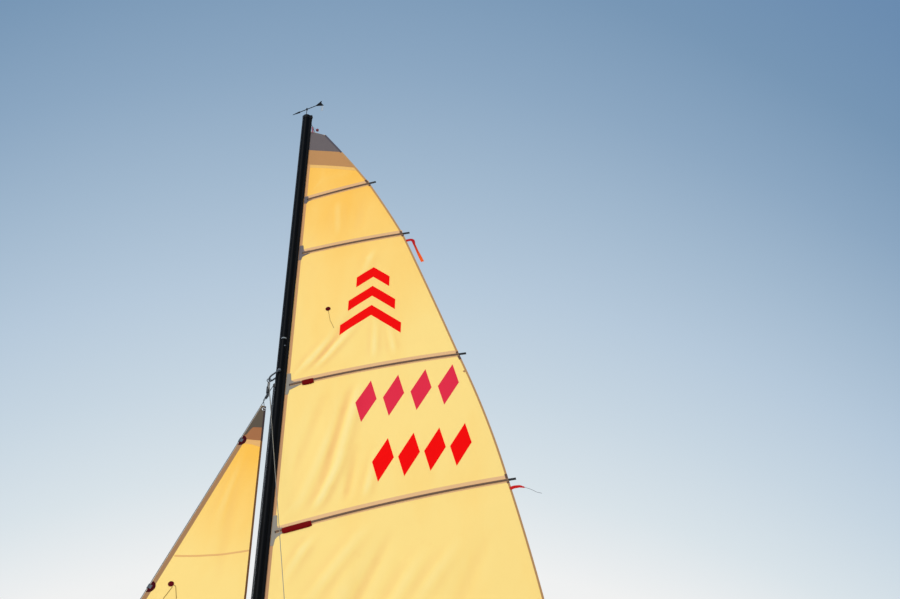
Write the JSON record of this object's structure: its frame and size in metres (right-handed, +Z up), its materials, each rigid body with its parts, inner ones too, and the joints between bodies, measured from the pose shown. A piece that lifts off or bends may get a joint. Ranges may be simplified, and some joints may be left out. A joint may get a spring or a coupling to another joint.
{
  "type": "beach catamaran with sloop rig",
  "caption": "Twin-hulled sailing boat parked with its sails up: slim hulls, trampoline deck, turning mast, full-battened mainsail, hanked jib, kicked-up rudders.",
  "frame": {"origin": "on the centreline at the keel line that the hulls stand on, half way along the boat with its rudder blades kicked up", "axes": "+X forward to the bows, +Y to port, +Z up along the mast"},
  "size_m": [5.7092, 2.398, 8.898],
  "materials": {
    "gelcoat": "gloss",
    "moulded_plastic": "satin",
    "anodised_aluminium": "satin",
    "black_anodised": "satin",
    "cast_aluminium": "matte",
    "mesh_fabric": "matte",
    "webbing": "matte",
    "stainless": "polished",
    "stainless_wire": "wire",
    "blade_laminate": "gloss",
    "batten_laminate": "satin",
    "sailcloth": "crisp woven"
  },
  "bodies": {
    "platform": {"hull_port": "gelcoat", "hull_starboard": "gelcoat", "hatch_covers": "moulded_plastic", "front_crossbeam": "anodised_aluminium", "rear_crossbeam": "anodised_aluminium", "side_rails": "anodised_aluminium", "beam_saddles": "cast_aluminium", "trampoline": "mesh_fabric", "hiking_straps": "webbing", "dolphin_striker": "stainless", "mast_step": "cast_aluminium", "stay_link": "stainless", "forestay": "stainless_wire", "bridle_plate": "stainless", "bridle_wires": "stainless_wire", "bow_tangs": "stainless", "chainplates": "stainless", "shroud_port": "stainless_wire", "shroud_starboard": "stainless_wire", "gudgeons_port": "stainless", "gudgeons_starboard": "stainless", "traveller_track": "anodised_aluminium"},
    "mast": {"mast": "black_anodised", "mast_base": "cast_aluminium", "mast_head": "moulded_plastic", "head_sheave": "moulded_plastic", "hound_bail": "stainless", "gooseneck": "cast_aluminium", "vane_stem": "stainless"},
    "vane": {"wind_vane": "moulded_plastic"},
    "boom": {"boom": "black_anodised", "boom_tongue": "cast_aluminium", "boom_end": "moulded_plastic", "clew_slider": "moulded_plastic", "mainsail": "sailcloth", "batten_1": "batten_laminate", "batten_2": "batten_laminate", "batten_3": "batten_laminate", "batten_4": "batten_laminate", "batten_5": "batten_laminate", "batten_6": "batten_laminate"},
    "jib": {"jib": "sailcloth", "jib_hanks": "stainless"},
    "traveller": {"traveller_car": "cast_aluminium"},
    "rudder_port": {"rudder_head_port": "cast_aluminium", "tiller_port": "anodised_aluminium"},
    "rudder_starboard": {"rudder_head_starboard": "cast_aluminium", "tiller_starboard": "anodised_aluminium"},
    "blade_port": {"rudder_blade_port": "blade_laminate"},
    "blade_starboard": {"rudder_blade_starboard": "blade_laminate"},
    "crossbar": {"crossbar": "anodised_aluminium"},
    "extension": {"tiller_extension": "anodised_aluminium"}
  },
  "joints": [
    {"name": "mast_rotation", "type": "hinge", "parent": "platform", "child": "mast", "pos_m": [0.278, 0, 0.61], "axis": [0, 0, 1], "range_deg": [-25, 25]},
    {"name": "boom_swing", "type": "hinge", "parent": "mast", "child": "boom", "pos_m": [0.24262, 0, 1.24559], "axis": [-0.0132, 0, 0.9999], "range_deg": [-24, 28]},
    {"name": "vane_turn", "type": "hinge", "parent": "mast", "child": "vane", "pos_m": [0.18106, 0, 8.87144], "axis": [-0.0132, 0, 0.9999], "continuous": true},
    {"name": "jib_swing", "type": "hinge", "parent": "platform", "child": "jib", "pos_m": [0.278, 0, 6.2355], "axis": [-0.3935, 0, 0.9193], "range_deg": [-20, 20]},
    {"name": "traveller_slide", "type": "slide", "parent": "platform", "child": "traveller", "axis": [0, 1, 0], "range_m": [-0.725, 0.725]},
    {"name": "rudder_port_steer", "type": "hinge", "parent": "platform", "child": "rudder_port", "pos_m": [-2.388, 1.04, 0.522], "axis": [0, 0, 1], "range_deg": [-35, 35]},
    {"name": "rudder_starboard_steer", "type": "hinge", "parent": "platform", "child": "rudder_starboard", "pos_m": [-2.388, -1.04, 0.522], "axis": [0, 0, 1], "range_deg": [-35, 35]},
    {"name": "blade_port_kickup", "type": "hinge", "parent": "rudder_port", "child": "blade_port", "pos_m": [-2.5, 1.04, 0.3], "axis": [0, 1, 0], "range_deg": [-150, 0]},
    {"name": "blade_starboard_kickup", "type": "hinge", "parent": "rudder_starboard", "child": "blade_starboard", "pos_m": [-2.5, -1.04, 0.3], "axis": [0, 1, 0], "range_deg": [-150, 0]},
    {"name": "crossbar_link", "type": "hinge", "parent": "rudder_port", "child": "crossbar", "pos_m": [-1.975, 1.04, 0.552], "axis": [0, 0, 1], "range_deg": [-35, 35]},
    {"name": "extension_swing", "type": "hinge", "parent": "crossbar", "child": "extension", "pos_m": [-1.975, 0, 0.594], "axis": [0, 0, 1], "range_deg": [-75, 75]}
  ],
  "couplings": [
    {"joint": "rudder_starboard_steer", "follows": "rudder_port_steer", "ratio": 1},
    {"joint": "crossbar_link", "follows": "rudder_port_steer", "ratio": -1}
  ]
}
